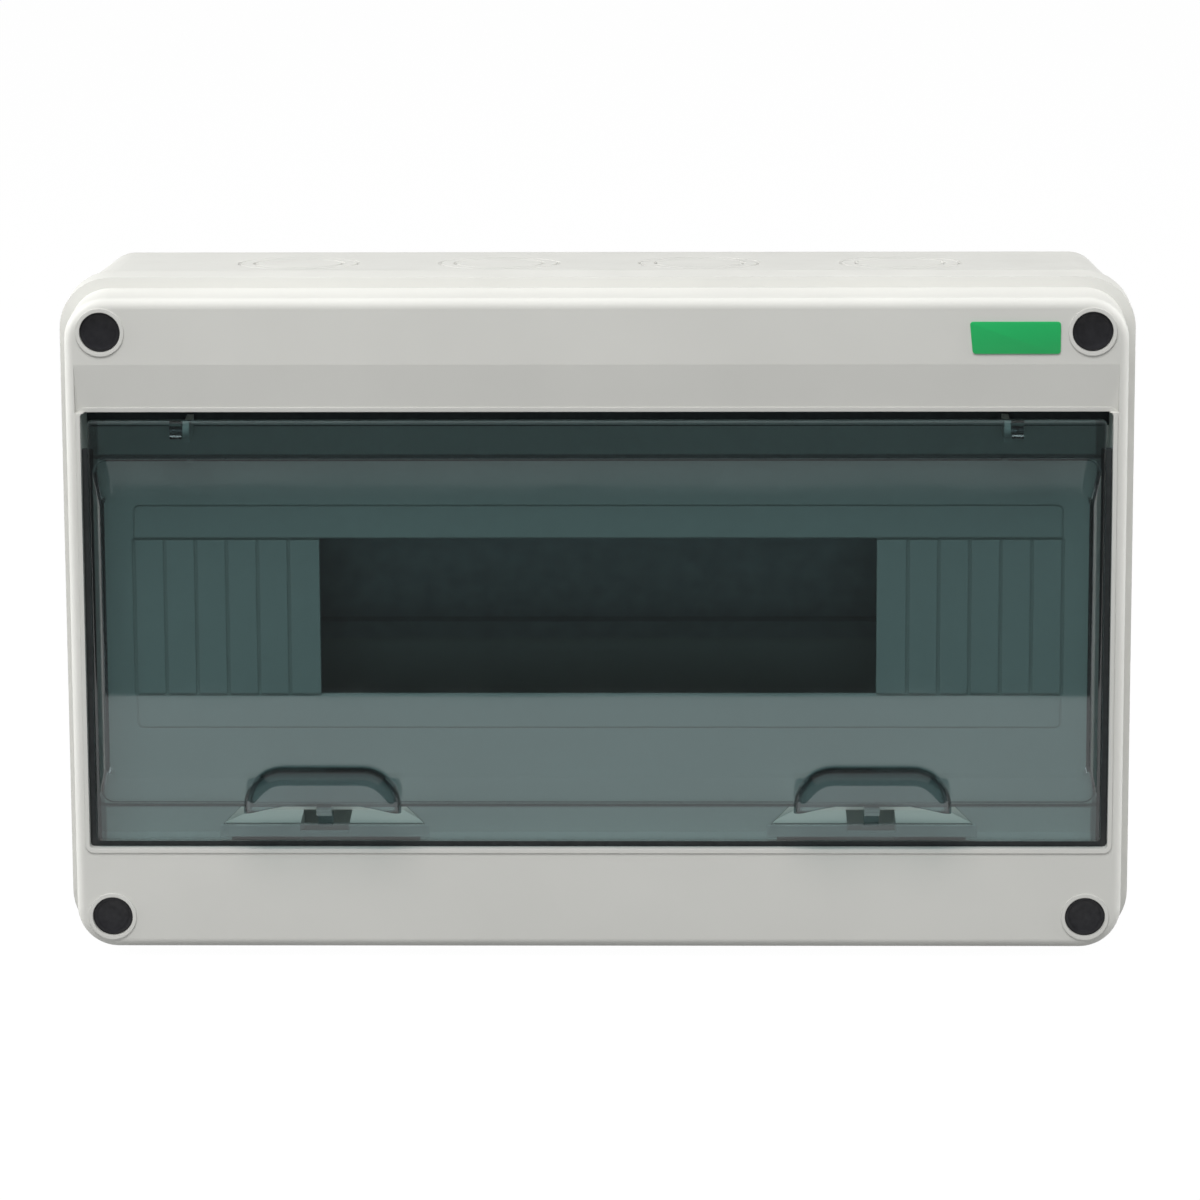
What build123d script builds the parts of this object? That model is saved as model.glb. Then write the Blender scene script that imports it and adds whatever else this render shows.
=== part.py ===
from build123d import *
import os
from math import cos, radians, sin, tan

# A surface-mounted waterproof junction box: a drafted rear box that screws to the wall, a front
# cover with a deep window recess, and a tinted lift-up door that hangs from two pins.
# Frame: X is the width, +Z is up, the front faces -Y, and the origin is the centre of the wall face.
# Depths are measured back from the cover's front face, in millimetres, like every other length.

# Outline
belt_width = 310.0            # widest outline, at the belt where the cover meets the box
belt_height = 198.0
belt_corner_radius = 15.0
body_depth = 98.0             # front face of the cover to the wall
belt_front = 19.5             # depth of the belt's front edge
seam_depth = 31.0             # depth of the joint between cover and box
shoulder = 3.0                # steep step from the cover's front part out to the belt
shoulder_depth = 0.8
front_edge_radius = 2.8

# Front cover
cover_wall = 2.6
window_side_margin = 7.25     # belt outline to the window's side
window_top_margin = 35.95
window_bottom_margin = 32.95
window_corner_radius = 1.2
recess_depth = 19.8           # front face to the inner panel
recess_wall = 2.0
panel_thickness = 2.2
panel_seat = 1.5              # the inner panel laps this far on to the ends of the recess walls
brow_top_margin = 21.9        # belt's top to the crease where the top band leans in to the window
brow_depth = 1.8
lip_width = 1.3               # raised lip round the window
lip_height = 0.3
module_width = 18.0
panel_side_room = 10.0        # least plain panel left at each side of the rows of strips
strips_each_side = 6          # break-away half-module strips beside the open slot
slot_height = 46.6
slot_centre = -1.35
strip_groove = 0.9
groove_depth = 0.9
plate_margin = 10.1           # slot's edge to the fine line above and below it
plate_corner_radius = 2.0

# Corner screws, their caps and their inserts
screw_inset_x = 13.45
screw_inset_z = 12.5
cap_bore_radius = 5.85
cap_ring_width = 1.1
cap_ring_height = 0.4
cap_length = 7.0
cap_recess = 0.9
cap_dish = 1.1
cap_clearance = 0.05
head_seat_depth = 20.0
boss_wall = 1.7
screw_radius = 2.0
screw_hole_clearance = 0.3
screw_head_radius = 4.0
screw_head_height = 3.0
screw_tip_room = 0.5          # the cover screws reach this far past their inserts
insert_radius = 3.2
insert_length = 10.0
insert_setback = 0.5
thread_clearance = 0.05
driver_slot_width = 1.0
driver_slot_depth = 1.2

# Rear box
box_inset = 1.0               # the box's rim lies this far inside the belt
box_draft = 4.6               # degrees, all four sides
box_wall = 3.0
back_wall = 3.0
rim_land = 4.6
rim_height = 8.0
box_boss_radius = 7.0
entry_radius = 18.0           # knock-out cable entries in the top and bottom sides
entry_inner_radius = 13.5
entry_groove = 0.9
entry_groove_depth = 0.4
entry_pitch = 59.0
entries_per_side = 4
entry_depth = 63.0            # depth of the row of knock-outs
end_entry_radius = 14.0       # one smaller knock-out in each end
wall_hole_radius = 2.75
wall_hole_inset_x = 40.0      # belt outline to the wall screws
wall_hole_inset_z = 33.0
wall_collar_radius = 6.0
wall_collar_height = 8.0

# Seal between box and cover
seal_width = 2.4
seal_depth = 2.5
seal_inset = 1.1
seal_clearance = 0.05

# Window door
door_gap_side = 1.8
door_gap_top = 2.4
door_gap_bottom = 1.9
door_face_depth = 0.5         # front of the door's flange behind the cover's front face
door_wall = 2.0
door_corner_radius = 1.5
door_top_rounding = 1.2
bulge_margin_side = 1.5       # flange edge to the bulge's foot
bulge_margin_top = 10.75
bulge_margin_bottom = 11.15
bulge_corner_radius = 4.0
bulge_height = 5.0
bulge_step = 1.4              # upright foot that the slopes rise from
bulge_slope_side = 2.2        # run of the sloped sides
bulge_slope_ends = 9.4        # run of the sloped top and bottom
bulge_wall_inset = 1.2
bulge_edge_radius = 0.7

# Hinge
pivot_depth = 5.2
pivot_drop = 5.55             # below the window's top edge
hinge_ear_inset = 29.15       # window's side to the ear's outer face
hinge_ear_width = 1.9
hinge_gap = 0.3
knuckle_width = 3.4
knuckle_radius = 2.4
pin_radius = 1.0
pin_clearance = 0.05
pin_overhang = 0.3
ear_arm_rise = 1.4
ear_arm_drop = 4.0

# Finger pulls and catches
pull_inset = 75.5             # belt's side to the middle of the pull
pull_width = 45.6
pull_height = 13.2
pull_foot_drop = 0.5          # the foot lies this far below the bulge's foot
pull_arch = 3.6
pull_corner_radius = 11.5
pull_reach = 5.5              # stands this far ahead of the bulge's face
pull_wall = 1.5
pull_rounding = 4.2
latch_opening_width = 58.6    # opening in the flange under the pull, at its lower edge
latch_opening_top_width = 48.0
latch_opening_rim = 5.25      # flange left below the opening
keeper_height = 6.4
keeper_front_width = 61.0
keeper_back_width = 44.5
keeper_shelf = 3.4            # thickness of the keeper's front, which stands clear of the sill
keeper_undercut = 6.0
keeper_gap = 0.6              # door's back to the keeper's front edge
pocket_width = 14.2
pocket_lip = 2.0              # drop and thickness of the lip that the catch hooks behind
catch_width = 4.4
catch_thickness = 2.0
catch_reach = 7.0             # the catch ends this far behind the keeper's front edge
catch_hook = 1.8
catch_rise = 3.0              # height of the hook below the tongue, above the keeper
catch_clearance = 0.4

# Rail for the breakers
rail_width = 35.0
rail_height = 7.5
rail_gauge = 1.0
rail_mouth = 27.0
rail_end_room = 15.0          # belt's side to the rail's end
rail_slot_length = 15.0
rail_slot_width = 5.2
rail_post_inset = 20.0        # rail's end to the post
rail_post_radius = 7.0
rail_post_height = 20.5
rail_screw_room = 8.5         # solid post left behind the rail screw's tip
rail_screw_head_radius = 3.6
rail_screw_head_height = 2.4

# Terminal bars
bar_length = 104.0
bar_height = 8.0
bar_depth = 9.0
bar_ways = 10
bar_end_margin = 8.8          # bar's end to its first way
bar_row_inset = 37.0          # belt's top and bottom to the two bars
wire_hole_radius = 2.6
clamp_screw_radius = 1.9
clamp_reach = 0.1             # the clamp screws end this far past the wire's middle
clamp_head_radius = 2.7
clamp_head_height = 1.6
holder_height = 14.0
holder_floor = 11.0           # bar's back to the back wall
holder_cheek = 2.0            # wall past each end of the bar
holder_cheek_setback = 2.0    # the cheek stops this far behind the bar's front
holder_lug_thickness = 3.0
holder_lug_length = 12.0
holder_post_radius = 5.0

# Label
label_width = 25.9
label_height = 9.3
label_thickness = 0.4
label_right_edge = 22.6       # from the belt's right side
label_inset = 14.2            # from the belt's top to the label's middle

# Worked out from the sizes above
front_width = belt_width - 2 * shoulder
front_height = belt_height - 2 * shoulder
front_corner_radius = belt_corner_radius - shoulder
hollow_width = front_width - 2 * cover_wall
hollow_height = front_height - 2 * cover_wall
hollow_corner_radius = front_corner_radius - cover_wall
window_width = belt_width - 2 * window_side_margin
window_top = belt_height / 2 - window_top_margin
window_bottom = window_bottom_margin - belt_height / 2
brow_top = belt_height / 2 - brow_top_margin
window_height = window_top - window_bottom
window_centre = (window_top + window_bottom) / 2
panel_back = recess_depth + panel_thickness
screw_x = belt_width / 2 - screw_inset_x
screw_z = belt_height / 2 - screw_inset_z
corners = [(sx * screw_x, sz * screw_z) for sz in (1, -1) for sx in (-1, 1)]
corner_names = ["top_left", "top_right", "bottom_left", "bottom_right"]
box_width = belt_width - 2 * box_inset
box_height = belt_height - 2 * box_inset
box_corner_radius = belt_corner_radius - box_inset
screw_length = seam_depth + insert_setback + insert_length + screw_tip_room - head_seat_depth
inner_back = body_depth - back_wall
wall_hole_span_x = belt_width - 2 * wall_hole_inset_x
wall_hole_span_z = belt_height - 2 * wall_hole_inset_z
panel_modules = int((window_width - 2 * panel_side_room) / module_width)
open_modules = panel_modules - strips_each_side
slot_width = open_modules * module_width
strip_zone_width = panel_modules * module_width
plate_height = slot_height + 2 * plate_margin
door_width = window_width - 2 * door_gap_side
door_top = window_top - door_gap_top
door_bottom = window_bottom + door_gap_bottom
door_back = door_face_depth + door_wall
bulge_width = door_width - 2 * bulge_margin_side
bulge_top = door_top - bulge_margin_top
bulge_bottom = door_bottom + bulge_margin_bottom
bulge_centre = (bulge_top + bulge_bottom) / 2
bulge_face = door_face_depth - bulge_height
pivot_z = window_top - pivot_drop
hinge_ear_inner = window_width / 2 - hinge_ear_inset - hinge_ear_width
pull_x = belt_width / 2 - pull_inset
pull_foot = bulge_bottom - pull_foot_drop
pull_top = pull_foot + pull_height
pull_front = bulge_face - pull_reach
keeper_front = door_back + keeper_gap
keeper_top = window_bottom + keeper_height
catch_end = keeper_front + catch_reach
catch_low = keeper_top + catch_clearance + catch_rise
catch_top = catch_low + catch_thickness
rail_back = inner_back - rail_post_height
rail_seat_depth = rail_back - rail_height
rail_length = belt_width - 2 * rail_end_room
rail_post_span = rail_length - 2 * rail_post_inset
rail_screw_length = rail_gauge + rail_post_height - rail_screw_room
bar_pitch = (bar_length - 2 * bar_end_margin) / (bar_ways - 1)
bar_row = belt_height / 2 - bar_row_inset
clamp_screw_length = bar_depth / 2 + clamp_reach
holder_front = inner_back - holder_floor - bar_depth
holder_length = bar_length + 2 * (holder_cheek + holder_lug_length)
past = 1.0                    # how far a cutting shape runs past the face that it opens


def facing(depth, x=0.0, z=0.0):
    """A plane parallel to the front at this depth: local x is X, local y is Z, normal to the viewer."""
    return Plane(origin=(x, depth - body_depth, z), x_dir=(1, 0, 0), z_dir=(0, -1, 0))


def slab(outline, near, far, x=0.0, z=0.0):
    """The outline as a prism between two depths."""
    return extrude(facing(far, x, z) * outline, far - near)


def rod(radius, near, far, x, z):
    return slab(Circle(radius), near, far, x, z)


def tapered(outline, near, far, angle):
    """A prism that narrows by the angle as it goes back."""
    start = Plane(origin=(0, near - body_depth, 0), x_dir=(1, 0, 0), z_dir=(0, 1, 0))
    return extrude(start * outline, far - near, taper=angle)


def side_prism(points, x_from, x_to):
    """A prism along X whose profile is given as (depth, z) points."""
    plane = Plane(origin=(x_from, -body_depth, 0), x_dir=(0, 1, 0), z_dir=(1, 0, 0))
    return extrude(plane * make_face(Polyline(*points, close=True)), x_to - x_from)


def cross_rod(radius, depth, z, x_from, x_to):
    """A round bar along X."""
    plane = Plane(origin=(x_from, depth - body_depth, z), x_dir=(0, 1, 0), z_dir=(1, 0, 0))
    return extrude(plane * Circle(radius), x_to - x_from)


def cuboid(x_from, x_to, near, far, z_from, z_to):
    outline = Rectangle(x_to - x_from, z_to - z_from)
    return slab(outline, near, far, (x_from + x_to) / 2, (z_from + z_to) / 2)


def front_cover():
    cover = slab(RectangleRounded(front_width, front_height, front_corner_radius), 0, belt_front)
    front_rim = cover.faces().sort_by(Axis.Y)[0].edges()
    cover = fillet(front_rim, front_edge_radius)
    belt = RectangleRounded(belt_width, belt_height, belt_corner_radius)
    cover += loft([facing(belt_front) * belt, facing(belt_front - shoulder_depth)
                   * RectangleRounded(front_width, front_height, front_corner_radius)], ruled=True)
    cover += slab(belt, belt_front, seam_depth)
    cover -= slab(RectangleRounded(hollow_width, hollow_height, hollow_corner_radius),
                  cover_wall, seam_depth + past)
    cover += recess_tub()
    for x, z in corners:
        cover += rod(cap_bore_radius + boss_wall, cover_wall / 2, seam_depth, x, z)
    brow_half = front_width / 2 - front_edge_radius
    cover -= side_prism(brow_profile(0.0), -brow_half, brow_half)
    lip = slab(RectangleRounded(window_width + 2 * lip_width, window_height + 2 * lip_width,
                                window_corner_radius + lip_width),
               -lip_height, brow_depth + cover_wall, 0, window_centre)
    cover += lip - side_prism(brow_profile(lip_height), -brow_half, brow_half)
    cover -= slab(RectangleRounded(window_width, window_height, window_corner_radius),
                  -lip_height - past, recess_depth + past, 0, window_centre)
    for side in (-1, 1):
        cover += keeper(side * pull_x)
        cover -= keeper_pocket(side * pull_x)
    for x, z in corners:
        cover += rod(cap_bore_radius + cap_ring_width, -cap_ring_height, cover_wall, x, z)
        cover -= rod(cap_bore_radius, -cap_ring_height - past, head_seat_depth, x, z)
        cover -= rod(screw_radius + screw_hole_clearance, head_seat_depth - past, seam_depth + past, x, z)
    return cover


def span(side, near, far):
    """The two X values of a stretch on the left (-1) or right (1) side, lower first."""
    return sorted((side * near, side * far))


def brow_profile(ahead):
    """What lies in front of the leaning brow, or of a face that stands this far ahead of it."""
    return [(-past, brow_top), (-ahead, brow_top), (brow_depth - ahead, window_top), (-past, window_top)]


def recess_tub():
    """The window recess's walls, still solid, with the thicker wall behind the leaning brow."""
    tub = slab(Rectangle(window_width + 2 * recess_wall, window_height + 2 * recess_wall),
               cover_wall / 2, recess_depth, 0, window_centre)
    brow_half = hollow_width / 2
    return tub + cuboid(-brow_half, brow_half, cover_wall / 2, cover_wall + brow_depth, window_top, brow_top)


def inner_panel():
    """The plate that closes the recess: slot for the breakers, break-away strips, and the two hinge ears."""
    panel = slab(Rectangle(window_width + 2 * panel_seat, window_height + 2 * panel_seat),
                 recess_depth, panel_back, 0, window_centre)
    panel -= slab(Rectangle(slot_width, slot_height), recess_depth - past, panel_back + past, 0, slot_centre)
    panel -= panel_grooves()
    for side in (-1, 1):
        panel -= keeper_pocket(side * pull_x)
        panel += hinge_ear(side)
        panel -= cross_rod(pin_radius + pin_clearance, pivot_depth, pivot_z,
                           *span(side, hinge_ear_inner - past, hinge_ear_inner + hinge_ear_width + past))
    return panel


def panel_grooves():
    """Break lines between the strips, along their ends, and the fine line round the whole plate."""
    near, far = recess_depth - past, recess_depth + groove_depth
    half_strip = module_width / 2
    cuts = []
    for edge in (-slot_height / 2, slot_height / 2):
        cuts.append(cuboid(-strip_zone_width / 2, strip_zone_width / 2, near, far,
                           slot_centre + edge - strip_groove / 2, slot_centre + edge + strip_groove / 2))
    for side in (-1, 1):
        for count in range(1, strips_each_side + 1):
            x = side * (slot_width / 2 + count * half_strip)
            cuts.append(cuboid(x - strip_groove / 2, x + strip_groove / 2, near, far,
                               slot_centre - slot_height / 2, slot_centre + slot_height / 2))
    outer = RectangleRounded(strip_zone_width, plate_height, plate_corner_radius)
    inner = RectangleRounded(strip_zone_width - strip_groove, plate_height - strip_groove,
                             plate_corner_radius - strip_groove / 2)
    cuts.append(slab(outer - inner, near, recess_depth + groove_depth / 2, 0, slot_centre))
    return cuts


def keeper(x):
    """The ledge on the recess's lower wall that a catch of the door hooks into."""
    front, back = keeper_front_width / 2, keeper_back_width / 2
    points = [(-front, keeper_front), (front, keeper_front), (back, recess_depth), (-back, recess_depth)]
    plane = Plane(origin=(x, -body_depth, window_bottom - recess_wall / 2))
    ledge = extrude(plane * make_face(Polyline(*points, close=True)), keeper_height + recess_wall / 2)
    return ledge - cuboid(x - front, x + front, keeper_front - past, keeper_front + keeper_undercut,
                          window_bottom - recess_wall, keeper_top - keeper_shelf)


def keeper_pocket(x):
    """A pocket through the ledge, the sill and the inner panel's edge, behind a lower front lip."""
    half = pocket_width / 2
    lip_back = keeper_front + pocket_lip
    notch = cuboid(x - half, x + half, keeper_front - past, lip_back + past,
                   keeper_top - pocket_lip, keeper_top)
    well = cuboid(x - half, x + half, lip_back, panel_back + past,
                  window_bottom - recess_wall - past, keeper_top)
    return notch + well


def hinge_ear(side):
    """An ear on the inner panel, with an eye at its tip for the hinge pin."""
    x_from, x_to = span(side, hinge_ear_inner, hinge_ear_inner + hinge_ear_width)
    eye = cross_rod(knuckle_radius, pivot_depth, pivot_z, x_from, x_to)
    arm = cuboid(x_from, x_to, pivot_depth, recess_depth + past / 2,
                 pivot_z - ear_arm_drop, pivot_z + ear_arm_rise)
    return eye + arm


def rear_box():
    outline = RectangleRounded(box_width, box_height, box_corner_radius)
    shell = tapered(outline, seam_depth, body_depth, box_draft)
    shrink = box_wall + rim_height * tan(radians(box_draft))
    wall_outline = RectangleRounded(box_width - 2 * shrink, box_height - 2 * shrink,
                                    box_corner_radius - shrink)
    mouth = RectangleRounded(box_width - 2 * rim_land, box_height - 2 * rim_land,
                             box_corner_radius - rim_land)
    box = shell - tapered(wall_outline, seam_depth + rim_height, inner_back, box_draft)
    box -= slab(mouth, seam_depth - past, seam_depth + rim_height)
    posts = []
    for x, z in corners:
        posts.append(rod(box_boss_radius, seam_depth, body_depth - back_wall / 2, x, z))
    for side in (-1, 1):
        posts.append(rod(rail_post_radius, rail_back, body_depth - back_wall / 2,
                         side * rail_post_span / 2, slot_centre))
    for sx in (-1, 1):
        for sz in (-1, 1):
            posts.append(rod(wall_collar_radius, inner_back - wall_collar_height, body_depth - back_wall / 2,
                             sx * wall_hole_span_x / 2, sz * wall_hole_span_z / 2))
            lug_x = sx * (holder_length - holder_lug_length) / 2
            posts.append(rod(holder_post_radius, inner_back - holder_floor + holder_lug_thickness,
                             body_depth - back_wall / 2, lug_x, sz * bar_row))
    for post in posts:
        box += post & shell
    for x, z in corners:
        depth = seam_depth + insert_setback + insert_length
        box -= rod(insert_radius, seam_depth - past, depth, x, z)
        box -= rod(screw_radius + thread_clearance, depth - past, head_seat_depth + screw_length + past, x, z)
    for sx in (-1, 1):
        box -= rod(screw_radius + thread_clearance, rail_back - past,
                   rail_back - rail_gauge + rail_screw_length + past, sx * rail_post_span / 2, slot_centre)
        for sz in (-1, 1):
            box -= rod(wall_hole_radius, inner_back - wall_collar_height - past, body_depth + past,
                       sx * wall_hole_span_x / 2, sz * wall_hole_span_z / 2)
            lug_x = sx * (holder_length - holder_lug_length) / 2
            box -= rod(clamp_screw_radius + thread_clearance, inner_back - holder_floor,
                       body_depth - back_wall / 2, lug_x, sz * bar_row)
    box -= seal_ring(0.0, seam_depth - past, seam_depth + seal_depth)
    for groove in entry_grooves():
        box -= groove
    return box


def entry_grooves():
    """Break rings of the knock-outs, cut square to the drafted sides."""
    grooves = []
    lean = radians(box_draft)
    inward = (entry_depth - seam_depth) * tan(lean)
    row = entry_depth - body_depth
    for up in (-1, 1):
        for index in range(entries_per_side):
            x = (index - (entries_per_side - 1) / 2) * entry_pitch
            plane = Plane(origin=(x, row, up * (box_height / 2 - inward)), x_dir=(1, 0, 0),
                          z_dir=(0, sin(lean), up * cos(lean)))
            for radius in (entry_radius, entry_inner_radius):
                grooves.append(break_ring(plane, radius))
    for side in (-1, 1):
        plane = Plane(origin=(side * (box_width / 2 - inward), row, 0), x_dir=(0, 0, 1),
                      z_dir=(side * cos(lean), sin(lean), 0))
        grooves.append(break_ring(plane, end_entry_radius))
    return grooves


def break_ring(plane, radius):
    ring = Circle(radius) - Circle(radius - entry_groove)
    return extrude(plane * ring, past) + extrude(plane * ring, -entry_groove_depth)


def seal_ring(clearance, near, far):
    """The seal's path in the box's rim, or its groove when the clearance is nought."""
    outer, inner = seal_inset + clearance, seal_inset + seal_width - clearance
    ring = (RectangleRounded(box_width - 2 * outer, box_height - 2 * outer, box_corner_radius - outer)
            - RectangleRounded(box_width - 2 * inner, box_height - 2 * inner, box_corner_radius - inner))
    return slab(ring, near, far)


def bulge(inset, near, far, rounding, edge_radius=0.0):
    """The door's raised middle: an upright foot and slopes up to its face. The inset makes its hollow."""
    foot = RectangleRounded(bulge_width - 2 * inset, bulge_top - bulge_bottom - 2 * inset, rounding)
    face = RectangleRounded(bulge_width - 2 * (inset + bulge_slope_side),
                            bulge_top - bulge_bottom - 2 * (inset + bulge_slope_ends), rounding)
    shelf = far - bulge_step
    slopes = loft([facing(shelf, 0, bulge_centre) * foot, facing(near, 0, bulge_centre) * face], ruled=True)
    if edge_radius:
        slopes = fillet(slopes.faces().sort_by(Axis.Y)[0].edges(), edge_radius)
    return slab(foot, shelf, far, 0, bulge_centre) + slopes


def window_door():
    door = slab(RectangleRounded(door_width, door_top - door_bottom, door_corner_radius),
                door_face_depth, door_back, 0, (door_top + door_bottom) / 2)
    top_edge = door.edges().filter_by(Axis.X).group_by(Axis.Z)[-1].sort_by(Axis.Y)[0]
    door = fillet(top_edge, door_top_rounding)
    for side in (-1, 1):
        door -= latch_opening(side * pull_x)
    door += bulge(0.0, bulge_face, door_face_depth, bulge_corner_radius, bulge_edge_radius)
    hollow = bulge(bulge_wall_inset, bulge_face + door_wall, door_back, bulge_corner_radius - bulge_wall_inset)
    for side in (-1, 1):
        door += finger_pull(side * pull_x)
    door -= hollow
    for side in (-1, 1):
        door += catch(side * pull_x)
        door += knuckle(side)
        first = hinge_ear_inner + hinge_ear_width
        door -= cross_rod(pin_radius + pin_clearance, pivot_depth, pivot_z,
                          *span(side, first, first + hinge_gap + knuckle_width + past))
    return door


def pull_block(x, shrink, back):
    """An arched block with a rounded front: the pull's outside, or its hollow when shrunk by the wall."""
    low = pull_foot - 2 * pull_arch
    top = pull_top - shrink
    outline = Rectangle(pull_width - 2 * shrink, top - low)
    outline = fillet(outline.vertices().group_by(Axis.Y)[-1], pull_corner_radius - shrink)
    block = slab(outline, pull_front + shrink, back, x, (top + low) / 2)
    rim = block.faces().sort_by(Axis.Y)[0].edges().sort_by(Axis.Z)[1:]
    return fillet(rim, pull_rounding - shrink)


def finger_pull(x):
    """A hood, open below, that a fingertip lifts the door by; its lower rim is a shallow arch."""
    back = door_face_depth + door_wall / 2
    hood = pull_block(x, 0.0, back) - pull_block(x, pull_wall, back + past)
    half = pull_width / 2
    arch_radius = (half ** 2 + pull_arch ** 2) / (2 * pull_arch)
    arch = rod(arch_radius, pull_front - past, back + past, x, pull_foot + pull_arch - arch_radius)
    below = cuboid(x - half - past, x + half + past, pull_front - past, back + past,
                   pull_foot - 3 * pull_arch, pull_foot)
    return hood - arch - below


def latch_opening(x):
    """An opening in the door's flange under a pull, round the tab that the catch stands on."""
    low, half_low, half_top = door_bottom + latch_opening_rim, latch_opening_width / 2, latch_opening_top_width / 2
    outline = make_face(Polyline((-half_low, low), (half_low, low), (half_top, pull_foot),
                                 (-half_top, pull_foot), close=True))
    opening = slab(outline, door_face_depth - past, door_back + past, x)
    tab = cuboid(x - catch_width / 2, x + catch_width / 2, door_face_depth - past, door_back + past,
                 catch_low, pull_foot + past)
    return opening - tab


def catch(x):
    """A tongue behind the door's lower edge, with a hook that drops into the keeper's pocket."""
    half = catch_width / 2
    tongue = cuboid(x - half, x + half, door_back - door_wall / 2, catch_end, catch_low, catch_top)
    hook = cuboid(x - half, x + half, catch_end - catch_hook, catch_end,
                  keeper_top - pocket_lip + catch_clearance, catch_top)
    return tongue + hook


def knuckle(side):
    """A hinge knuckle on the door's back, just outside the cover's ear."""
    first = hinge_ear_inner + hinge_ear_width + hinge_gap
    x_from, x_to = span(side, first, first + knuckle_width)
    eye = cross_rod(knuckle_radius, pivot_depth, pivot_z, x_from, x_to)
    web = cuboid(x_from, x_to, door_back - door_wall / 2, pivot_depth,
                 pivot_z - knuckle_radius, pivot_z + knuckle_radius)
    return eye + web


def hinge_pin(side):
    last = hinge_ear_inner + hinge_ear_width + hinge_gap + knuckle_width
    pin = cross_rod(pin_radius, pivot_depth, pivot_z,
                    *span(side, hinge_ear_inner - pin_overhang, last + pin_overhang))
    return chamfer(pin.edges().filter_by(GeomType.CIRCLE), pin_radius / 5)


def machine_screw(x, z, head_face, length, radius, head_radius, head_height):
    """A pan-head screw along the depth, its head in front of the seat, with a straight driver slot."""
    head = rod(head_radius, head_face - head_height, head_face, x, z)
    head = fillet(head.edges().filter_by(GeomType.CIRCLE).sort_by(Axis.Y)[0], head_height / 3)
    screw = head + rod(radius, head_face - head_height / 2, head_face + length, x, z)
    half_slot = driver_slot_width / 2
    return screw - cuboid(x - head_radius - past, x + head_radius + past,
                          head_face - head_height - past, head_face - head_height + driver_slot_depth,
                          z - half_slot, z + half_slot)


def cover_screw(x, z):
    return machine_screw(x, z, head_seat_depth, screw_length, screw_radius,
                         screw_head_radius, screw_head_height)


def screw_cap(x, z):
    """A rubber plug over a cover screw, with a dished front."""
    plug = rod(cap_bore_radius - cap_clearance, cap_recess, cap_recess + cap_length, x, z)
    rim = cap_bore_radius - cap_clearance - cap_ring_width / 2
    dish_radius = (rim ** 2 + cap_dish ** 2) / (2 * cap_dish)
    dish = Sphere(dish_radius)
    return plug - Pos(x, cap_recess - body_depth + cap_dish - dish_radius, z) * dish


def screw_inserts():
    first = seam_depth + insert_setback
    tubes = []
    for x, z in corners:
        tubes.append(rod(insert_radius - thread_clearance, first, first + insert_length - thread_clearance, x, z)
                     - rod(screw_radius + thread_clearance, first - past, first + insert_length + past, x, z))
    return Compound(children=tubes)


def din_rail():
    """Top-hat rail: two lips on the breakers' plane and a channel that stands on the posts."""
    lip, mouth = rail_width / 2, rail_mouth / 2
    front, back = rail_seat_depth, rail_back
    upper = [(front, lip), (front, mouth - rail_gauge), (back - rail_gauge, mouth - rail_gauge)]
    outer = [(back, mouth), (front + rail_gauge, mouth), (front + rail_gauge, lip)]
    half = [(d, slot_centre + h) for d, h in upper]
    other = [(d, slot_centre - h) for d, h in reversed(upper)]
    low = [(d, slot_centre - h) for d, h in reversed(outer)]
    high = [(d, slot_centre + h) for d, h in outer]
    rail = side_prism(half + other + low + high, -rail_length / 2, rail_length / 2)
    for side in (-1, 1):
        rail -= slab(SlotOverall(rail_slot_length, rail_slot_width), back - rail_gauge - past, back + past,
                     side * rail_post_span / 2, slot_centre)
    return rail


def rail_screws():
    screws = [machine_screw(side * rail_post_span / 2, slot_centre, rail_back - rail_gauge, rail_screw_length,
                            screw_radius, rail_screw_head_radius, rail_screw_head_height) for side in (-1, 1)]
    return Compound(children=screws)


def bar_way_positions():
    return [(index - (bar_ways - 1) / 2) * bar_pitch for index in range(bar_ways)]


def terminal_bar(z):
    """A brass bar with wire holes up through it and a clamp screw hole in front of each."""
    bar = cuboid(-bar_length / 2, bar_length / 2, holder_front, holder_front + bar_depth,
                 z - bar_height / 2, z + bar_height / 2)
    for x in bar_way_positions():
        middle = holder_front + bar_depth / 2
        bar -= Pos(x, middle - body_depth, z) * Cylinder(wire_hole_radius, bar_height + 2 * past)
        bar -= rod(clamp_screw_radius + thread_clearance, holder_front - past, middle, x, z)
    return bar


def clamp_screws(z):
    screws = [machine_screw(x, z, holder_front, clamp_screw_length, clamp_screw_radius,
                            clamp_head_radius, clamp_head_height) for x in bar_way_positions()]
    return Compound(children=screws)


def bar_holder(z):
    """An insulating cradle: a floor under the bar, a cheek past each end, and a screw lug at each end."""
    cradle_half = holder_length / 2 - holder_lug_length
    cradle = cuboid(-cradle_half, cradle_half, holder_front + bar_depth, inner_back,
                    z - holder_height / 2, z + holder_height / 2)
    for side in (-1, 1):
        cheek = cuboid(*span(side, bar_length / 2, cradle_half), holder_front + holder_cheek_setback,
                       inner_back, z - holder_height / 2, z + holder_height / 2)
        lug_back = inner_back - holder_floor + holder_lug_thickness
        lug = cuboid(*span(side, cradle_half - past, holder_length / 2), lug_back - holder_lug_thickness,
                     lug_back, z - holder_height / 2, z + holder_height / 2)
        hole_x = side * (holder_length - holder_lug_length) / 2
        cradle += cheek + lug
        cradle -= rod(clamp_screw_radius + screw_hole_clearance, lug_back - holder_lug_thickness - past,
                      lug_back + past, hole_x, z)
    return cradle


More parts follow.
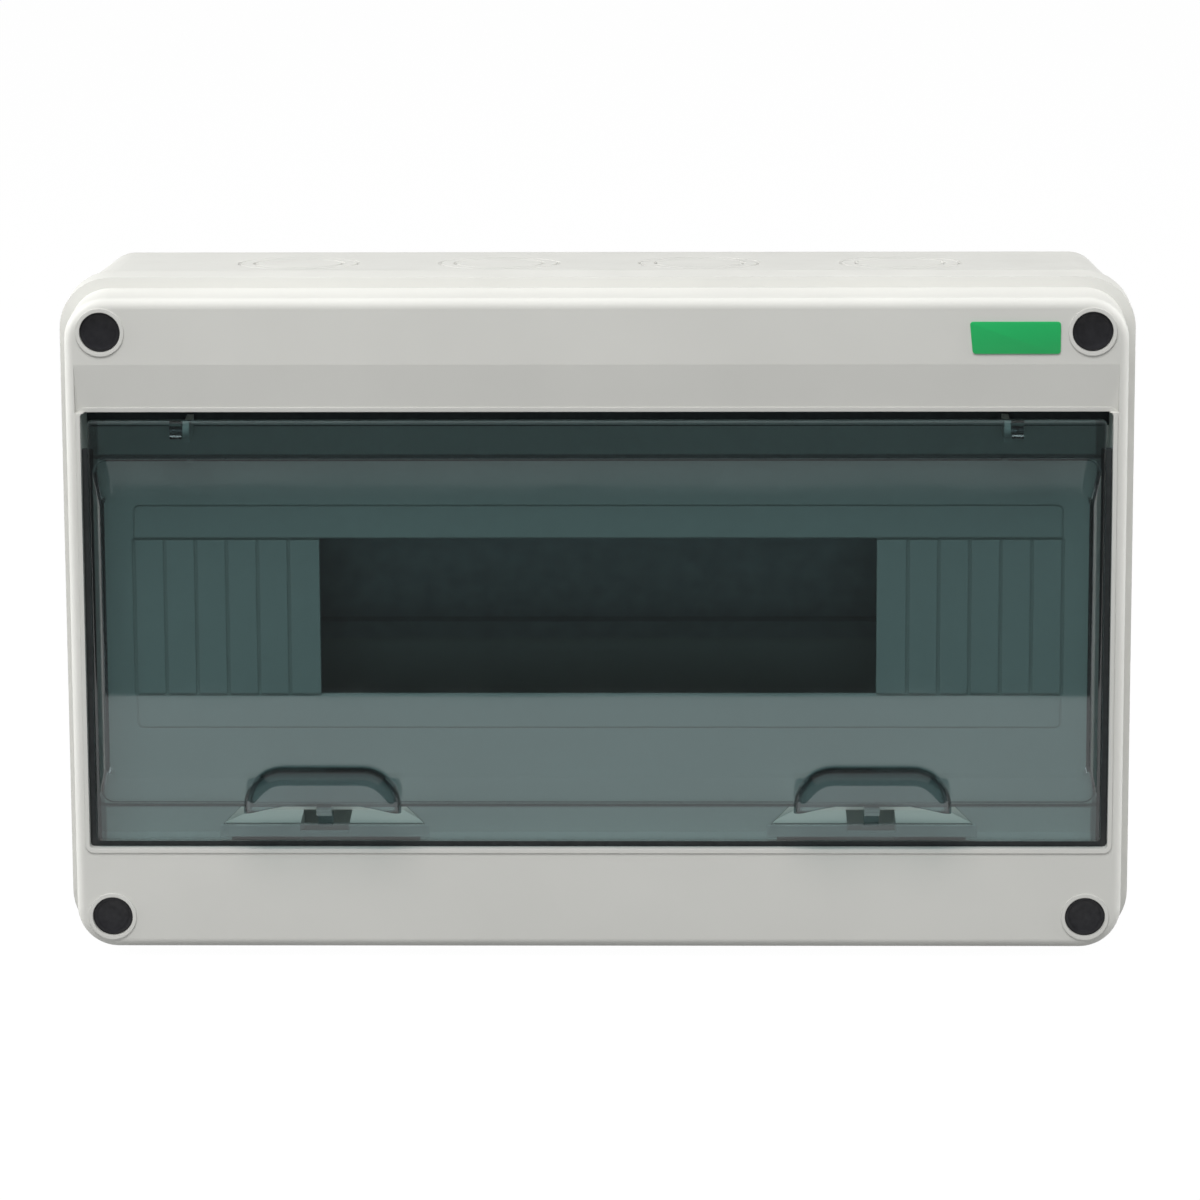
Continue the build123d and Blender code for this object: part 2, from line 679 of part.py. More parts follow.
def holder_screws():
    seat = inner_back - holder_floor
    length = body_depth - back_wall / 2 - seat - past
    screws = []
    for sz in (-1, 1):
        for sx in (-1, 1):
            screws.append(machine_screw(sx * (holder_length - holder_lug_length) / 2, sz * bar_row, seat, length,
                                        clamp_screw_radius, rail_screw_head_radius, rail_screw_head_height))
    return Compound(children=screws)


def label():
    x = belt_width / 2 - label_right_edge - label_width / 2
    return slab(RectangleRounded(label_width, label_height, label_thickness), -label_thickness, 0,
                x, belt_height / 2 - label_inset)


def save(shape, node):
    export_step(shape, os.path.join("parts", node + ".step"))


os.makedirs("parts", exist_ok=True)
save(rear_box(), "rear_box")
save(front_cover(), "front_cover")
save(inner_panel(), "inner_panel")
save(seal_ring(seal_clearance, seam_depth, seam_depth + seal_depth), "cover_seal")
save(window_door(), "window_door")
save(hinge_pin(-1), "hinge_pin_left")
save(hinge_pin(1), "hinge_pin_right")
for name, (x, z) in zip(corner_names, corners):
    save(cover_screw(x, z), "cover_screw_" + name)
    save(screw_cap(x, z), "screw_cap_" + name)
save(screw_inserts(), "screw_inserts")
save(din_rail(), "din_rail")
save(rail_screws(), "rail_screws")
save(terminal_bar(bar_row), "neutral_bar")
save(bar_holder(bar_row), "neutral_bar_holder")
save(clamp_screws(bar_row), "neutral_clamp_screws")
save(terminal_bar(-bar_row), "earth_bar")
save(bar_holder(-bar_row), "earth_bar_holder")
save(clamp_screws(-bar_row), "earth_clamp_screws")
save(holder_screws(), "holder_screws")
save(label(), "label")
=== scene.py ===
# %% [markdown]
# # A waterproof junction box
# The box was drawn as solids first: a drafted rear box, a front cover with a window recess, an inner
# panel, and a tinted door that lifts on two pins. Here those solids are loaded as a fixed frame, dressed
# in finishes, and joined by a few pieces that are modelled in Blender.
# Everything is in metres. X is the width, +Z is up, the window faces -Y, and the wall is at Y = 0.

# %% Load the frame
import bpy
import math
from mathutils import Matrix, Vector


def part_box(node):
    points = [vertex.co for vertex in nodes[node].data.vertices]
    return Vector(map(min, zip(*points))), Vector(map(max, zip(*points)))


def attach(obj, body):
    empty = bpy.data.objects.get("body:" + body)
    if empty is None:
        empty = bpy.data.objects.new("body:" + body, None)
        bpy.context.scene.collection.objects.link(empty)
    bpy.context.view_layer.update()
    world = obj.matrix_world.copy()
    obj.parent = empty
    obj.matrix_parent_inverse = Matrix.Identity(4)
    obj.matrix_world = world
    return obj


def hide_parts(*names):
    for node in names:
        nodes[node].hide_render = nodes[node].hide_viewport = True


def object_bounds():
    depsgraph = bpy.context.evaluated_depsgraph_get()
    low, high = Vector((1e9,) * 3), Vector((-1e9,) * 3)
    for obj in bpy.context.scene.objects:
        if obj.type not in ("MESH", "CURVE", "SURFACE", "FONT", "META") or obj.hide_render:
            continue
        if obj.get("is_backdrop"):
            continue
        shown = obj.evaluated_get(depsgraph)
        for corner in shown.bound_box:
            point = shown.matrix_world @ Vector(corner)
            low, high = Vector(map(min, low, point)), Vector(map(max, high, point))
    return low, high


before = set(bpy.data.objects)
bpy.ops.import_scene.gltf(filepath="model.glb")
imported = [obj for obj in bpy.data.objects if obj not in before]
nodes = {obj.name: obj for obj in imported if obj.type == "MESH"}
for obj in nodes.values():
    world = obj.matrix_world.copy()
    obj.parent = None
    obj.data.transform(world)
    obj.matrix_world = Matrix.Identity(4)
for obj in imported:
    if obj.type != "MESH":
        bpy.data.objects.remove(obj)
cad_low, cad_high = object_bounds()
millimetre = 0.001
cad_size = [round((b - a) / millimetre, 1) for a, b in zip(cad_low, cad_high)]
print("frame:", len(nodes), "nodes,", cad_size, "mm")

# %% [markdown]
# ## Small helpers for finishes
# A finish is a tree of shader nodes. It could be wired by hand in the shader editor. In a script it is
# shorter to have one helper that adds a node with its settings and values, and a few that add the nodes
# which come up again and again: arithmetic, noise, a stretched range, and mixes of colours and shaders.
# Every pattern reads Object coordinates, so it stays put when a piece is lit, moved or exported.


# %% Finish helpers
class Finish:
    """One material under construction."""

    def __init__(self, name):
        self.material = bpy.data.materials.new(name)
        self.start_tree(self.material, "ShaderNodeOutputMaterial")
        coordinates = self.tree.nodes.new("ShaderNodeTexCoord")
        self.place = coordinates.outputs["Object"]
        self.facing = coordinates.outputs["Normal"]

    def start_tree(self, owner, output_kind):
        owner.use_nodes = True
        self.tree = owner.node_tree
        self.tree.nodes.clear()
        self.output = self.tree.nodes.new(output_kind)

    def fill(self, socket, value):
        """Wires another node's output to a socket, or sets a plain value on the socket itself."""
        if isinstance(value, bpy.types.NodeSocket):
            self.tree.links.new(value, socket)
        else:
            socket.default_value = value

    def add(self, kind, settings=(), **values):
        """Adds a node; a value's name is its socket's name, with _ for a space."""
        node = self.tree.nodes.new("ShaderNode" + kind)
        for name, value in dict(settings).items():
            setattr(node, name, value)
        for name, value in values.items():
            self.fill(node.inputs[name.replace("_", " ")], value)
        return node

    def reckon(self, operation, *values):
        """One step of arithmetic."""
        node = self.add("Math", {"operation": operation})
        for socket, value in zip(node.inputs, values):
            self.fill(socket, value)
        return node.outputs["Value"]

    def noise(self, size, detail=2.0, roughness=0.5, stretch=(1, 1, 1)):
        """Noise whose lumps are about this many metres across."""
        mapping = self.add("Mapping", Vector=self.place, Scale=stretch)
        node = self.add("TexNoise", Vector=mapping.outputs["Vector"], Scale=1 / size, Detail=detail,
                        Roughness=roughness)
        return node.outputs["Fac"]

    def spread(self, source, low, high, start=0.3, end=0.7):
        """Stretches a pattern from start..end on to low..high, and holds it there beyond."""
        node = self.add("MapRange", Value=source, From_Min=start, From_Max=end, To_Min=low, To_Max=high)
        return node.outputs["Result"]

    def blend(self, pattern, first, second):
        """Mixes two colours by a pattern: 0 gives the first, 1 the second."""
        node = self.add("Mix", {"data_type": "RGBA"}, Factor=pattern)
        colour_sockets = [socket for socket in node.inputs if socket.type == "RGBA"]
        for socket, colour in zip(colour_sockets, (first, second)):
            socket.default_value = (*colour, 1)
        return [socket for socket in node.outputs if socket.type == "RGBA"][0]

    def mix(self, share, first, second):
        """Mixes two shaders: 0 gives the first, 1 the second."""
        node = self.add("MixShader")
        for socket, source in zip(node.inputs, (share, first, second)):
            self.fill(socket, source)
        return node.outputs["Shader"]

    def close(self, shader):
        self.fill(self.output.inputs["Surface"], shader)
        return self.material


print("helpers ready")

# %% [markdown]
# ## Light grey moulded plastic
# The box, cover and inner panel are injection-moulded in a light warm grey. The mould's spark-eroded
# steel leaves a fine satin grain, and the melt leaves a very faint cloudiness. A flat grey would look
# like paper, so the colour drifts by a percent or two, the sheen drifts too, and a fine bump gives the
# grain. Real mouldings have no razor edges: the Bevel node rounds the shading at every sharp edge.


# %% Grey plastic finish
def moulded_plastic(name, colour, edge=0.35 * millimetre):
    f = Finish(name)
    clouds = f.spread(f.noise(0.05, 3.0), 0.0, 1.0)
    tint = f.blend(clouds, [c * 0.975 for c in colour], [min(1.0, c * 1.02) for c in colour])
    sheen = f.spread(f.noise(0.012, 4.0), 0.40, 0.50)
    soft_edges = f.add("Bevel", {"samples": 4}, Radius=edge)
    grain = f.noise(0.0005, 3.0, 0.6)
    bump = f.add("Bump", Strength=0.10, Distance=0.00006, Height=grain,
                 Normal=soft_edges.outputs["Normal"])
    plastic = f.add("BsdfPrincipled", Base_Color=tint, Roughness=sheen, Normal=bump.outputs["Normal"],
                    IOR=1.5)
    return f.close(plastic.outputs["BSDF"])


grey = moulded_plastic("moulded_grey", (0.600, 0.600, 0.570))
print("grey plastic:", grey.name)

# %% [markdown]
# ## The tinted window
# The door is one piece of clear polycarbonate dyed green-grey, 2 mm thick. Glass that bends light gives
# the dark outlines at its slopes and finger pulls. The tint is also darkened towards near black as a face
# turns away from the front, along two lines at the step of the bulge's foot, and over the narrow flange
# beside it. This is partly the longer path through the dyed plastic where a wall is seen end on, and partly
# painted shade and painted dark reflection. Lamps would not shine through bent glass without a very long
# render, so a ray that looks for a lamp meets a plain see-through shader with the same tint instead.


# %% Painted shade where the window turns away
def painted_edge_shade(f, low, high):
    """Painted shade mask: up to 1 where a wall of the door turns away and on lines at the bulge's foot and
    the side flange, 0 on the flat of its face.
    """
    def distance(source, middle):
        return f.reckon("ABSOLUTE", f.reckon("SUBTRACT", source, middle))

    def shade_line_at(height, half_core, half_width):
        return f.spread(distance(place["Z"], height), 0.8, 0.0, half_core, half_width)

    facing = f.add("SeparateXYZ", Vector=f.facing).outputs
    place = f.add("SeparateXYZ", Vector=f.place).outputs
    turned_away_shade = f.spread(distance(facing["Y"], 0.0), 1.0, 0.0, 0.0, 0.93)
    lower_foot_shade_line = shade_line_at(low.z + 11.3 * millimetre, 0.5 * millimetre, 1.0 * millimetre)
    upper_foot_shade_line = shade_line_at(high.z - 10.6 * millimetre, 0.4 * millimetre, 0.9 * millimetre)
    side_flange_shade = f.spread(distance(place["X"], 0.0), 0.0, 0.55,
                           high.x - 3.4 * millimetre, high.x - 2.7 * millimetre)
    strongest_shade = turned_away_shade
    for pattern in (lower_foot_shade_line, upper_foot_shade_line, side_flange_shade):
        strongest_shade = f.reckon("MAXIMUM", strongest_shade, pattern)
    return strongest_shade


door_low, door_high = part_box("window_door")
print("door box:", [round(c / millimetre, 1) for c in (*door_low, *door_high)], "mm")


# %% Window finish
def tinted_window(name, wall_tint, painted_edge_shade_tint, low, high):
    f = Finish(name)
    # Painted shade: the tint is blended towards a near-black tint by that mask.
    dye_with_painted_shade = f.blend(painted_edge_shade(f, low, high), wall_tint, painted_edge_shade_tint)
    ripple = f.add("Bump", Strength=0.12, Distance=0.00035, Height=f.noise(0.045, 1.0))
    haze = f.spread(f.noise(0.02, 3.0), 0.015, 0.05)
    clear = f.add("BsdfPrincipled", Base_Color=dye_with_painted_shade, Roughness=haze, Normal=ripple.outputs["Normal"],
                  Transmission_Weight=1.0, IOR=1.58, Coat_Weight=0.8, Coat_IOR=1.5, Coat_Roughness=0.02)
    open_to_lamps = f.add("BsdfTransparent", Color=(*[math.sqrt(c) for c in wall_tint], 1))
    path = f.add("LightPath").outputs
    lamp_ray = f.reckon("MAXIMUM", path["Is Shadow Ray"], path["Is Diffuse Ray"])
    return f.close(f.mix(lamp_ray, clear.outputs["BSDF"], open_to_lamps.outputs["BSDF"]))


# The second, near-black colour is the painted shade on turned-away walls and lines.
window = tinted_window("tinted_window", (0.328, 0.438, 0.448), (0.046, 0.052, 0.060), door_low, door_high)
print("window tint:", window.name)

# %% [markdown]
# ## Rubber, metal and coloured insulators
# The caps and the seals are dark rubber and foam with a dull, slightly dusty face. The rail and the
# screws are zinc plated: bright, a little blue, with fine marks along the strip. The terminal bars are
# plain machined brass on a blue and a green cradle. The cradles and the label are moulded or printed
# plastic, so they take the function of the grey, and two more functions make the rubbers and the metals.


# %% Rubber, metal and insulator finishes
def rubber(name, colour, dust):
    """dust is how much paler the dusty patches are."""
    f = Finish(name)
    patches = f.spread(f.noise(0.004, 3.0), 0.0, 1.0)
    tint = f.blend(patches, colour, [c * dust for c in colour])
    sheen = f.spread(f.noise(0.0016, 2.0), 0.55, 0.75)
    bump = f.add("Bump", Strength=0.25, Distance=0.00005, Height=f.noise(0.0004, 3.0))
    body = f.add("BsdfPrincipled", Base_Color=tint, Roughness=sheen, Normal=bump.outputs["Normal"])
    return f.close(body.outputs["BSDF"])


def metal(name, bright, dull, rough, marks=(1, 1, 1), bare=1.0):
    """marks stretches the noise, a small number draws it out; bare is how metallic the face is."""
    f = Finish(name)
    streaks = f.noise(0.0015, 4.0, 0.6, marks)
    tint = f.blend(f.spread(f.noise(0.006, 3.0), 0.0, 1.0), bright, dull)
    sheen = f.spread(streaks, rough - 0.07, rough + 0.09)
    bump = f.add("Bump", Strength=0.15, Distance=0.00003, Height=streaks)
    body = f.add("BsdfPrincipled", Base_Color=tint, Roughness=sheen, Normal=bump.outputs["Normal"],
                 Metallic=bare)
    return f.close(body.outputs["BSDF"])


cap_rubber = rubber("cap_rubber", (0.014, 0.014, 0.016), 1.4)
seal_rubber = rubber("seal_rubber", (0.026, 0.028, 0.029), 1.3)
steel = metal("plated_steel", (0.62, 0.62, 0.63), (0.50, 0.50, 0.52), 0.30)
rail_zinc = metal("plated_rail", (0.62, 0.63, 0.64), (0.52, 0.53, 0.54), 0.42, (0.05, 1, 1), 0.55)
brass = metal("machined_brass", (0.70, 0.50, 0.20), (0.60, 0.41, 0.15), 0.28, (0.1, 1, 1))
blue = moulded_plastic("blue_insulator", (0.030, 0.120, 0.420))
green = moulded_plastic("green_insulator", (0.030, 0.300, 0.090))
label_film = moulded_plastic("green_label_film", (0.020, 0.390, 0.110), 0.1 * millimetre)
print("finishes:", len(bpy.data.materials))

# %% [markdown]
# ## Dress the solids
# The solids whose shape is right keep it, and only their finish changes. A material slot is filled for
# each of them, and the shading is left as it came, because their faces already carry their normals.

# %% Give each solid its finish
finish_of = {"rear_box": grey, "front_cover": grey, "inner_panel": grey, "window_door": window,
             "cover_seal": seal_rubber, "din_rail": rail_zinc, "screw_inserts": brass,
             "neutral_bar": brass, "earth_bar": brass, "neutral_bar_holder": blue,
             "earth_bar_holder": green, "label": label_film}
for name, node in nodes.items():
    finish = finish_of.get(name, cap_rubber if name.startswith("screw_cap") else steel)
    if not node.material_slots:
        node.data.materials.append(finish)
    for slot in node.material_slots:
        slot.material = finish
print("dressed", len(nodes), "solids")

# %% [markdown]
# ## Small helpers for modelling
# Each new piece starts as a primitive, and is shaped by the same moves as by hand in edit mode. An
# operator acts on all that is selected, so every piece needs three moves again and again: adding a
# primitive with nothing else selected, picking some of its points, edges or faces by a test, and
# rounding its edges at the end. With a test in place of a mouse click, a pick can't miss.


# %% Modelling helpers
def begin(name, size=(1, 1, 1)):
    """Names the primitive that was just added, and bakes its place, turn and size into its mesh."""
    piece = bpy.context.object
    piece.name = name
    piece.scale = size
    bpy.ops.object.transform_apply(location=True, rotation=True, scale=True)
    return piece


def pick(piece, kind, wanted):
    """Goes to edit mode with only those points, edges or faces selected that pass a test."""
    bpy.ops.object.mode_set(mode="EDIT")
    bpy.ops.mesh.select_mode(type=kind)
    bpy.ops.mesh.select_all(action="DESELECT")
    bpy.ops.object.mode_set(mode="OBJECT")
    mesh = piece.data
    for part in {"VERT": mesh.vertices, "EDGE": mesh.edges, "FACE": mesh.polygons}[kind]:
        part.select = wanted(part)
    bpy.ops.object.mode_set(mode="EDIT")


def round_edges(piece, width, segments, sharper_than=30):
    """Leaves edit mode and rounds every edge that is sharper than this many degrees."""
    bpy.ops.object.mode_set(mode="OBJECT")
    rounding = piece.modifiers.new("rounding", "BEVEL")
    rounding.width = width
    rounding.segments = segments
    rounding.angle_limit = math.radians(sharper_than)
    bpy.ops.object.modifier_apply(modifier=rounding.name)
    bpy.ops.object.shade_smooth_by_angle(angle=math.radians(35))


print("modelling helpers ready")

# %% [markdown]
# ## Rubber cap plugs
# A soft rubber plug sits a little way down each cover screw's bore. It is a short drum with a rolled rim
# and a dished face, so its lower wall catches the light and its upper wall stays black. Turning a profile
# would work, but a cylinder whose front face is inset and pushed in step by step is quicker to read.
# One plug is modelled, then copied to the other corners, each copy with a mesh of its own.


# %% Model one plug
def cap_plug(radius, front, back):
    """A plug on the Y axis, between two depths."""
    def middle_of_front(face):
        return face.normal.y < -0.99 and face.center.xz.length < radius * 0.5

    bpy.ops.object.select_all(action="DESELECT")
    bpy.ops.mesh.primitive_cylinder_add(vertices=72, radius=radius, depth=back - front,
                                        location=(0, (front + back) / 2, 0), rotation=(math.pi / 2, 0, 0))
    plug = begin("cap_plug")
    dish = ((0.9, 0.0), (0.5, 0.55), (1.0, 0.30), (1.2, 0.15), (1.0, 0.08))
    for inset, push in dish:
        pick(plug, "FACE", middle_of_front)
        bpy.ops.mesh.inset(thickness=inset * millimetre)
        bpy.ops.transform.translate(value=(0, push * millimetre, 0))
    round_edges(plug, 0.18 * millimetre, 3, 20)
    return plug


plug_nodes = [name for name in nodes if name.startswith("screw_cap_")]
low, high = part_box(plug_nodes[0])
first_plug = cap_plug((high.x - low.x) / 2, low.y, high.y)
print("plug:", len(first_plug.data.polygons), "faces")

# %% Copy the plug to every corner
plugs = [first_plug]
for _ in plug_nodes[1:]:
    twin = first_plug.copy()
    twin.data = first_plug.data.copy()
    bpy.context.scene.collection.objects.link(twin)
    plugs.append(twin)
for plug, name in zip(plugs, plug_nodes):
    low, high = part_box(name)
    plug.name = name.replace("screw_cap", "cap_plug")
    plug.data.transform(Matrix.Translation(((low.x + high.x) / 2, 0, (low.z + high.z) / 2)))
    plug.data.materials.append(cap_rubber)
    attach(plug, "enclosure")
    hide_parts(name)
print("plugs:", [plug.name for plug in plugs])

# %% [markdown]
# ## Green label
# The label is a small piece of film with rounded corners on the right and a left end that leans in at
# the bottom. It is bare. A plane the size of the label is given that outline in edit mode, then
# thickened by an extrude, and its corners are rounded with a bevel on the upright edges alone.


# %% Model the label
def lean_in_label(name, source, lean, corner):
    """lean moves the lower left corner in; corner is the radius of the corners."""
    low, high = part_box(source)
    middle = (low + high) / 2
    thickness = high.y - low.y

    def lower_left(point):
        return point.co.x < middle.x and point.co.z < middle.z

    def through_the_film(edge):
        a, b = (film.data.vertices[i].co for i in edge.vertices)
        return abs(a.y - b.y) > 0.5 * thickness

    bpy.ops.object.select_all(action="DESELECT")
    bpy.ops.mesh.primitive_plane_add(size=1, location=(middle.x, high.y, middle.z),
                                     rotation=(math.pi / 2, 0, 0))
    film = begin(name, (high.x - low.x, high.z - low.z, 1))
    pick(film, "VERT", lower_left)
    bpy.ops.transform.translate(value=(lean, 0, 0))
    bpy.ops.mesh.select_mode(type="FACE")
    bpy.ops.mesh.select_all(action="SELECT")
    bpy.ops.mesh.extrude_region_move(TRANSFORM_OT_translate={"value": (0, -thickness, 0)})
    pick(film, "EDGE", through_the_film)
    bpy.ops.mesh.bevel(offset=corner, segments=6)
    bpy.ops.mesh.select_all(action="SELECT")
    bpy.ops.mesh.normals_make_consistent(inside=False)
    round_edges(film, 0.08 * millimetre, 2, 60)
    return film


label = lean_in_label("label_film", "label", 0.9 * millimetre, 0.9 * millimetre)
label.data.materials.append(label_film)
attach(label, "enclosure")
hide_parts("label")
print("label:", len(label.data.polygons), "faces")

# %% [markdown]
# ## Black pieces that paint the shade round the door
# The narrow gap round the closed door is in shade, so a dark line runs round it. Dark rubber pieces
# are put there as painted shade: a U that stands just behind the door's edge at the sides and the
# bottom, and above the hinge, where the door needs its room to swing, a flat strip that lies back against
# the inner panel where the top of the recess is in shade. The U is a grid of three by two faces. Its inner
# lines are moved out to the width of its sides, the middle face at the top is deleted, and the rest is
# extruded to its thickness.


# %% Model the U
def move_line(piece, axis, where, to):
    """Moves every vertex that lies on one line of the grid."""
    pick(piece, "VERT", lambda point: abs(point.co[axis] - where) < 0.1 * millimetre)
    way = [0, 0, 0]
    way[axis] = to - where
    bpy.ops.transform.translate(value=way)


def u_shade_piece(name, low, high, shade_width, sill_shade_height):
    """A black U between two corners that paints the shade in the gap round the door; the last two arguments
    are the width of its sides and the height of its bottom.
    """
    middle = (low + high) / 2
    width = high.x - low.x
    bpy.ops.object.select_all(action="DESELECT")
    bpy.ops.mesh.primitive_grid_add(x_subdivisions=3, y_subdivisions=2, size=1,
                                    location=(middle.x, low.y, middle.z), rotation=(math.pi / 2, 0, 0))
    piece = begin(name, (width, high.z - low.z, 1))
    move_line(piece, 0, low.x + width / 3, low.x + shade_width)
    move_line(piece, 0, high.x - width / 3, high.x - shade_width)
    move_line(piece, 2, middle.z, low.z + sill_shade_height)
    pick(piece, "FACE", lambda face: face.center.z > low.z + 2 * sill_shade_height and abs(face.center.x) < width / 4)
    bpy.ops.mesh.delete(type="FACE")
    bpy.ops.mesh.select_all(action="SELECT")
    bpy.ops.mesh.extrude_region_move(TRANSFORM_OT_translate={"value": (0, high.y - low.y, 0)})
    bpy.ops.mesh.select_all(action="SELECT")
    bpy.ops.mesh.normals_make_consistent(inside=False)
    round_edges(piece, 0.4 * millimetre, 3)
    return piece


window_half, sill = 147.7 * millimetre, -66.0 * millimetre
flange_back = cad_low.y + 12.5 * millimetre
side_shade_width, sill_shade_height = 3.2 * millimetre, 1.9 * millimetre
# Painted shade: a dark U in the shaded gap behind the door's edge.
gap_shade_u = u_shade_piece("door_gap_shade", Vector((-window_half, flange_back + 0.25 * millimetre, sill)),
              Vector((window_half, flange_back + 2.0 * millimetre, 52 * millimetre)), side_shade_width, sill_shade_height)
print("U seal:", len(gap_shade_u.data.polygons), "faces")


# %% Model the strip above the hinge
def flat_shade_piece(name, low, high):
    """A flat dark strip between two corners; here it paints the shade at the top of the recess."""
    bpy.ops.object.select_all(action="DESELECT")
    bpy.ops.mesh.primitive_cube_add(size=1, location=(low + high) / 2)
    piece = begin(name, high - low)
    round_edges(piece, 0.2 * millimetre, 3)
    return piece


lintel = 63.0 * millimetre
panel_face = cad_low.y + 29.8 * millimetre
# Painted shade: a dark strip where the top of the recess lies in shade.
strip = flat_shade_piece("hinge_shade_strip", Vector((-window_half, panel_face - 0.7 * millimetre, 55.5 * millimetre)),
                   Vector((window_half, panel_face - 0.05 * millimetre, lintel)))
for piece in (gap_shade_u, strip):
    piece.data.materials.append(seal_rubber)
    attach(piece, "enclosure")
print("seals:", [(piece.name, len(piece.data.polygons)) for piece in (gap_shade_u, strip)])

# %% [markdown]
# ## The studio
# The photograph was taken on white paper in a dark room. The paper reaches only a hand's width in front
# of the box, so the clear door mirrors white low down and the dark room everywhere else, which gives it
# its dark edges. Black cards in front, above, behind and at the sides stand for that room. The camera
# doesn't see them, and they cast no shadow, so the lamps shine through them.


# %% Paper and cards
def glow_sheet(name, colour, seen_share, mirrored_share, glow):
    """Matt paint that glows too: by seen_share to the camera, by mirrored_share in gloss and glass."""
    f = Finish(name)
    body = f.add("BsdfDiffuse", Color=(*colour, 1))
    light = f.add("Emission", Color=(1, 1, 1, 1), Strength=glow)
    path = f.add("LightPath").outputs
    mirrored = f.reckon("MAXIMUM", path["Is Glossy Ray"], path["Is Transmission Ray"])
    mirrored_part = f.reckon("MULTIPLY", mirrored, mirrored_share)
    share = f.reckon("MULTIPLY_ADD", path["Is Camera Ray"], seen_share, mirrored_part)
    return f.close(f.mix(share, body.outputs["BSDF"], light.outputs["Emission"]))


def sheet(name, size, place, turn, material):
    bpy.ops.object.select_all(action="DESELECT")
    bpy.ops.mesh.primitive_plane_add(size=1, location=place, rotation=turn)
    card = begin(name, (*size, 1))
    card.data.materials.append(material)
    card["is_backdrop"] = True
    return card


def black_card(name, size, place, turn, paint, dims_room=False):
    """dims_room lets the card darken matt faces as well as reflections."""
    card = sheet(name, size, place, turn, paint)
    card.visible_camera = False
    card.visible_diffuse = dims_room
    card.visible_shadow = False


white_paper = glow_sheet("white_paper", (0.30, 0.30, 0.30), 0.93, 0.60, 1.06)
black_paint = glow_sheet("black_paint", (0.008, 0.008, 0.009), 0.0, 1.0, 0.09)
dim_ceiling = glow_sheet("dim_ceiling", (0.008, 0.008, 0.009), 0.0, 1.0, 0.38)
print("studio paints:", [paint.name for paint in (white_paper, black_paint, dim_ceiling)])

# %% Set up the paper and the cards
floor_level = cad_low.z
paper_edge = cad_low.y - 0.306
flat, upright = (0, 0, 0), (math.pi / 2, 0, 0)
sideways = (math.pi / 2, 0, math.pi / 2)
sheet("floor", (9, 9), (0, 0, floor_level), flat, white_paper)
black_card("dark_floor", (4.0, 2.4), (0, paper_edge - 1.2, floor_level + 0.002), flat, black_paint, True)
black_card("dark_front", (5.0, 3.0), (0, paper_edge - 2.4, 1.4), upright, black_paint, True)
black_card("dark_ceiling", (5.0, 3.2), (0, -1.25, 1.6), flat, dim_ceiling)
black_card("dark_back", (5.0, 2.6), (0, 1.3, 1.4), upright, black_paint)
black_card("dark_left", (3.2, 3.0), (-1.5, -1.0, 1.4), sideways, black_paint)
black_card("dark_right", (3.2, 3.0), (1.5, -1.0, 1.4), sideways, black_paint)
print("floor at", round(floor_level, 4), "paper ends at", round(paper_edge, 3))

# %% [markdown]
# ## Light
# A large soft light above and in front makes the tops the brightest faces and leaves the leaning brow a
# step darker than the front. A lamp at each side lights the ends, the left one a little more. A weak
# wide light far in front reaches through the slot. None of them shows in gloss or glass. The world is
# bright where it is mirrored, and adds only a little light of its own.


# %% Lamps
def soft_light(name, size, place, aim, watts):
    data = bpy.data.lights.new(name, "AREA")
    data.shape = "RECTANGLE"
    data.size, data.size_y = size
    data.energy = watts
    lamp = bpy.data.objects.new(name, data)
    bpy.context.scene.collection.objects.link(lamp)
    lamp.location = place
    lamp.rotation_euler = (Vector(aim) - Vector(place)).to_track_quat("-Z", "Y").to_euler()
    lamp.visible_glossy = False
    lamp.visible_transmission = False


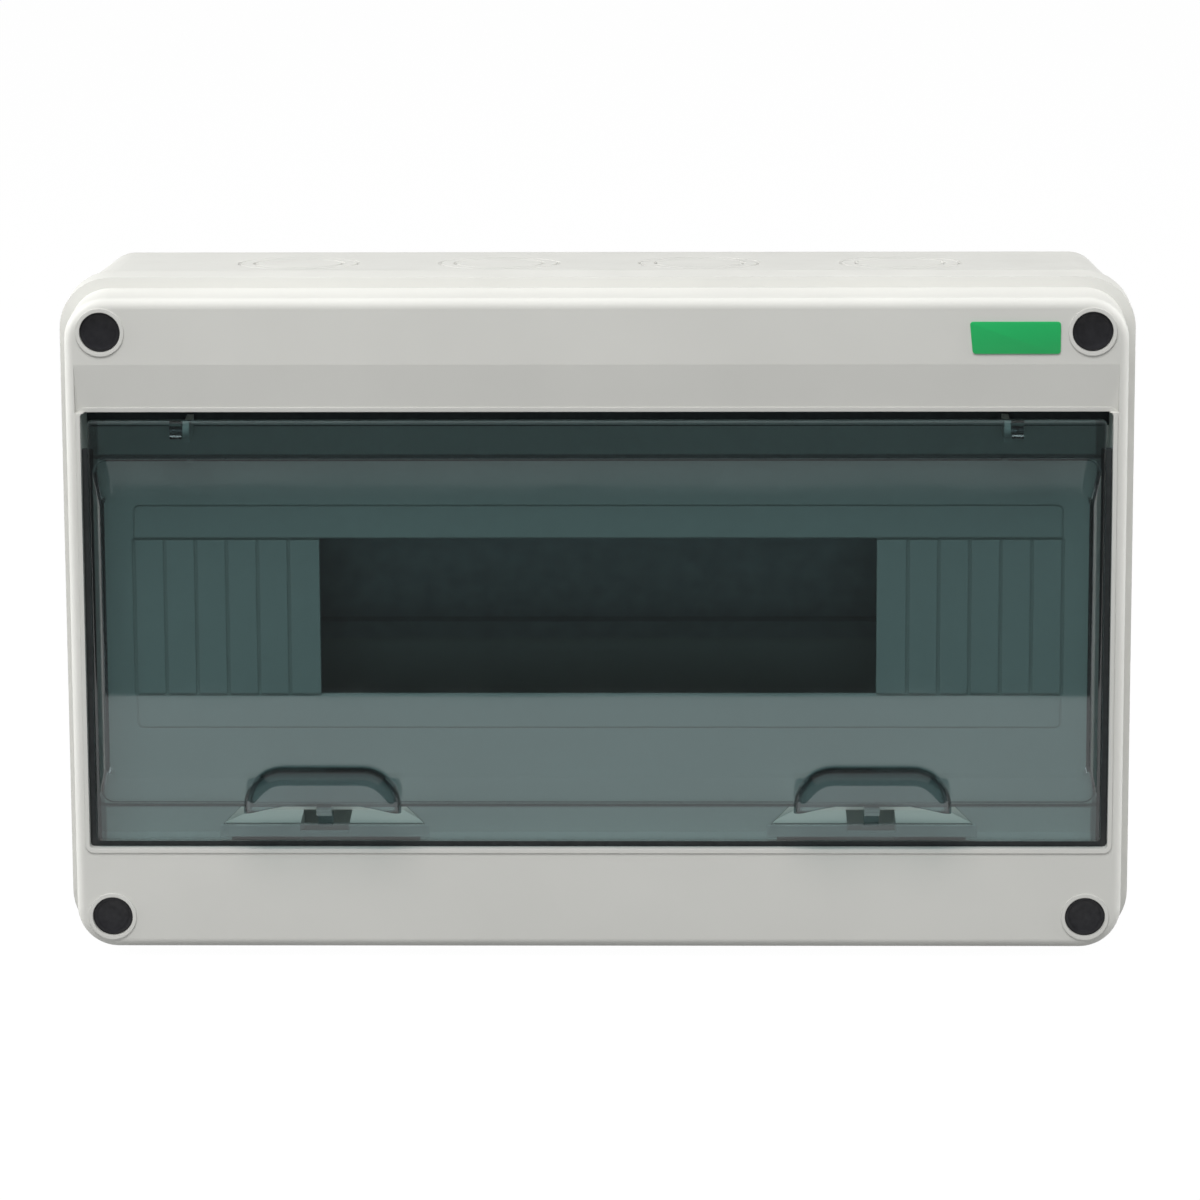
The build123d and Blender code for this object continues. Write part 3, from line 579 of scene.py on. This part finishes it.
box_middle = (0, 0, 0)
soft_light("key", (1.1, 0.7), (-0.12, -0.80, 1.13), (0, -0.05, 0.0), 18.9)
soft_light("left_side", (0.8, 0.8), (-1.10, 0.10, 0.45), box_middle, 17)
soft_light("right_side", (0.8, 0.8), (1.10, 0.10, 0.45), box_middle, 13)
soft_light("front_fill", (1.2, 0.6), (0, -2.2, 0.35), box_middle, 7.5)


# %% World
class Surroundings(Finish):
    """The same helpers, for the world's tree."""

    def __init__(self, world):
        self.start_tree(world, "ShaderNodeOutputWorld")


world = bpy.data.worlds.new("white_room")
bpy.context.scene.world = world
room = Surroundings(world)
lit = room.add("Background", Strength=0.20)
seen = room.add("Background", Strength=1.0)
path = room.add("LightPath").outputs
straight = room.reckon("MAXIMUM", path["Is Camera Ray"], path["Is Glossy Ray"])
straight = room.reckon("MAXIMUM", straight, path["Is Transmission Ray"])
sky = room.mix(straight, lit.outputs["Background"], seen.outputs["Background"])
room.fill(room.output.inputs["Surface"], sky)
bpy.context.scene.view_settings.view_transform = "Standard"
print("world:", world.name)

# %% [markdown]
# ## Camera
# The viewpoint was worked out from the straight edges and corners of the box: a long lens about 1.8 m
# in front, 13 degrees above level, and a degree round to one side.

# %% Camera
pitch, yaw, roll = math.radians(13.1041), math.radians(1.0562), math.radians(-0.2484)
camera_place = (0.03272, -1.82241, 0.40966)
ahead = Vector((-math.sin(yaw) * math.cos(pitch), math.cos(yaw) * math.cos(pitch), -math.sin(pitch)))
level = Vector((math.cos(yaw), math.sin(yaw), 0))
overhead = level.cross(ahead)
across = math.cos(roll) * level + math.sin(roll) * overhead
upward = -math.sin(roll) * level + math.cos(roll) * overhead
camera_data = bpy.data.cameras.new("camera")
camera_data.lens, camera_data.sensor_width = 184.634, 36.0
camera = bpy.data.objects.new("camera", camera_data)
bpy.context.scene.collection.objects.link(camera)
turn = Matrix((across, upward, -ahead)).transposed()
camera.matrix_world = Matrix.Translation(camera_place) @ turn.to_4x4()
bpy.context.scene.camera = camera
print("camera at", [round(c, 3) for c in camera.location])

# %% [markdown]
# ## Sizes
# The bounds of the dressed box are set against those of the solids, and the change is printed in millimetres.

# %% Print the size change
look_low, look_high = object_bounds()
changes = [(a - b) / millimetre for a, b in zip((*look_low, *look_high), (*cad_low, *cad_high))]
print("size change:", [round(change, 3) for change in changes], "mm")
